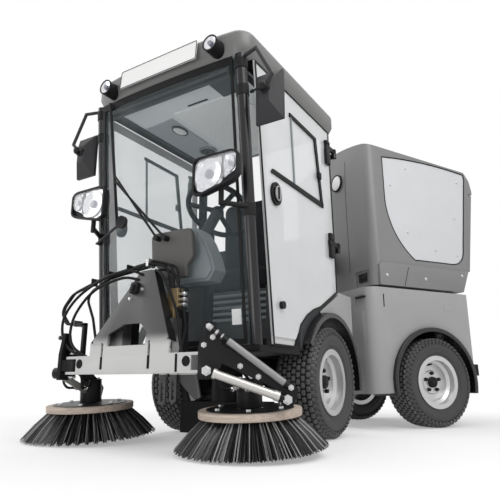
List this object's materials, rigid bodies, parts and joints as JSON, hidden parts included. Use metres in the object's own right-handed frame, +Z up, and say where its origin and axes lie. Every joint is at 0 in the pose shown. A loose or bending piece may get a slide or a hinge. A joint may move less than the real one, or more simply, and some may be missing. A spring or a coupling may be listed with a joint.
{
  "type": "compact articulated street sweeper",
  "caption": "Compact articulated street sweeper with a glazed cab, swinging front side brushes, a suction mouth and a tipping rear hopper.",
  "frame": {"origin": "on the floor, under the middle of the whole machine's bounding box at rest", "axes": "+X is the cab's left, -Y is forward, +Z is up; the rear section is turned about the articulation pivot as in the picture"},
  "size_m": [2.0042, 3.0848, 2.022],
  "materials": {
    "body_grey": "satin grey paint",
    "pale_grey": "satin light grey paint",
    "frame_black": "satin black paint",
    "frame_grey": "satin mid grey paint",
    "black_plastic": "matte black",
    "black_rubber": "matte",
    "trim_grey": "matte grey",
    "clear_glass": "clear",
    "tyre_black": "matte",
    "rim_silver": "satin silver paint",
    "brush_wood": "plain beech plywood",
    "bristle_black": "matte",
    "sheet_metal": "plain mill finish",
    "seat_cloth": "woven",
    "lamp_lens": "clear lens",
    "engine_iron": "dull",
    "bright_steel": "bright"
  },
  "bodies": {
    "front": {"front_axles": "frame_black", "front_frame": "frame_black", "front_fenders": "black_plastic", "cab_floor": "frame_black", "seat_base": "black_plastic", "front_pillars": "frame_black", "rear_pillars": "frame_black", "cab_roof": "body_grey", "headliner": "trim_grey", "cab_rear_panel": "black_plastic", "rear_window": "clear_glass", "windscreen": "clear_glass", "rear_skirt": "pale_grey", "seat": "seat_cloth", "steering_column": "black_plastic", "steering_wheel": "black_plastic", "wiper_panel": "trim_grey", "wiper": "black_plastic", "front_lamps": "black_plastic", "mirrors": "black_plastic", "suction_mouth": "frame_black", "suction_pipe": "black_rubber"},
    "rear": {"rear_axles": "frame_black", "rear_fenders": "black_plastic", "suction_elbow": "black_rubber", "rear_frame": "frame_black", "engine": "engine_iron", "tow_jaw": "frame_black", "rear_body": "body_grey", "rear_lamps": "lamp_lens"},
    "wheel_front_left": {"tyre_front_left": "tyre_black", "rim_front_left": "rim_silver"},
    "wheel_front_right": {"tyre_front_right": "tyre_black", "rim_front_right": "rim_silver"},
    "wheel_rear_left": {"tyre_rear_left": "tyre_black", "rim_rear_left": "rim_silver"},
    "wheel_rear_right": {"tyre_rear_right": "tyre_black", "rim_rear_right": "rim_silver"},
    "door_left": {"door_left": "clear_glass", "door_left_fittings": "black_plastic"},
    "door_right": {"door_right": "clear_glass", "door_right_fittings": "black_plastic"},
    "carrier": {"brush_carrier": "frame_grey", "valve_block": "bright_steel", "brush_hoses": "black_rubber"},
    "arm_left": {"brush_arm_left": "frame_black"},
    "brush_left": {"brush_disc_left": "brush_wood", "bristles_left": "bristle_black"},
    "arm_right": {"brush_arm_right": "frame_black"},
    "brush_right": {"brush_disc_right": "brush_wood", "bristles_right": "bristle_black"},
    "hopper": {"hopper": "body_grey", "hopper_sheets": "sheet_metal"},
    "tailgate": {"tailgate": "body_grey"}
  },
  "joints": [
    {"name": "articulation", "type": "hinge", "parent": "front", "child": "rear", "pos_m": [-0.11744, 0.19554, 0.38], "axis": [0, 0, 1], "range_deg": [-7, 73]},
    {"name": "wheel_front_left_spin", "type": "hinge", "parent": "front", "child": "wheel_front_left", "pos_m": [0.30956, -0.48246, 0.292], "axis": [1, 0, 0], "continuous": true},
    {"name": "wheel_front_right_spin", "type": "hinge", "parent": "front", "child": "wheel_front_right", "pos_m": [-0.54444, -0.48246, 0.292], "axis": [1, 0, 0], "continuous": true},
    {"name": "wheel_rear_left_spin", "type": "hinge", "parent": "rear", "child": "wheel_rear_left", "pos_m": [0.64643, 0.58779, 0.292], "axis": [0.8387, -0.5446, 0], "continuous": true},
    {"name": "wheel_rear_right_spin", "type": "hinge", "parent": "rear", "child": "wheel_rear_right", "pos_m": [-0.0698, 1.05291, 0.292], "axis": [0.8387, -0.5446, 0], "continuous": true},
    {"name": "door_left_hinge", "type": "hinge", "parent": "front", "child": "door_left", "pos_m": [0.41156, -0.35046, 1.2], "axis": [0, 0, 1], "range_deg": [0, 80]},
    {"name": "door_right_hinge", "type": "hinge", "parent": "front", "child": "door_right", "pos_m": [-0.64644, -0.35046, 1.2], "axis": [0, 0, -1], "range_deg": [0, 80]},
    {"name": "hopper_tip", "type": "hinge", "parent": "rear", "child": "hopper", "pos_m": [0.4882, 1.12814, 0.902], "axis": [-0.8387, 0.5446, 0], "range_deg": [0, 50]},
    {"name": "tailgate_hinge", "type": "hinge", "parent": "hopper", "child": "tailgate", "pos_m": [0.58623, 1.2791, 1.7], "axis": [0.8387, -0.5446, 0], "range_deg": [0, 75]},
    {"name": "front_lift", "type": "slide", "parent": "front", "child": "carrier", "axis": [0, 0, 1], "range_m": [0, 0.1]},
    {"name": "arm_left_swing", "type": "hinge", "parent": "carrier", "child": "arm_left", "pos_m": [0.27756, -1.44946, 0.366], "axis": [0, 0, -1], "range_deg": [-12, 38]},
    {"name": "brush_left_spin", "type": "hinge", "parent": "arm_left", "child": "brush_left", "pos_m": [0.32975, -1.21008, 0.184], "axis": [0, -0.0732, 0.9973], "continuous": true},
    {"name": "arm_right_swing", "type": "hinge", "parent": "carrier", "child": "arm_right", "pos_m": [-0.51244, -1.44946, 0.366], "axis": [0, 0, 1], "range_deg": [-30, 20]},
    {"name": "brush_right_spin", "type": "hinge", "parent": "arm_right", "child": "brush_right", "pos_m": [-0.66414, -1.19296, 0.184], "axis": [0, -0.0732, 0.9973], "continuous": true}
  ]
}
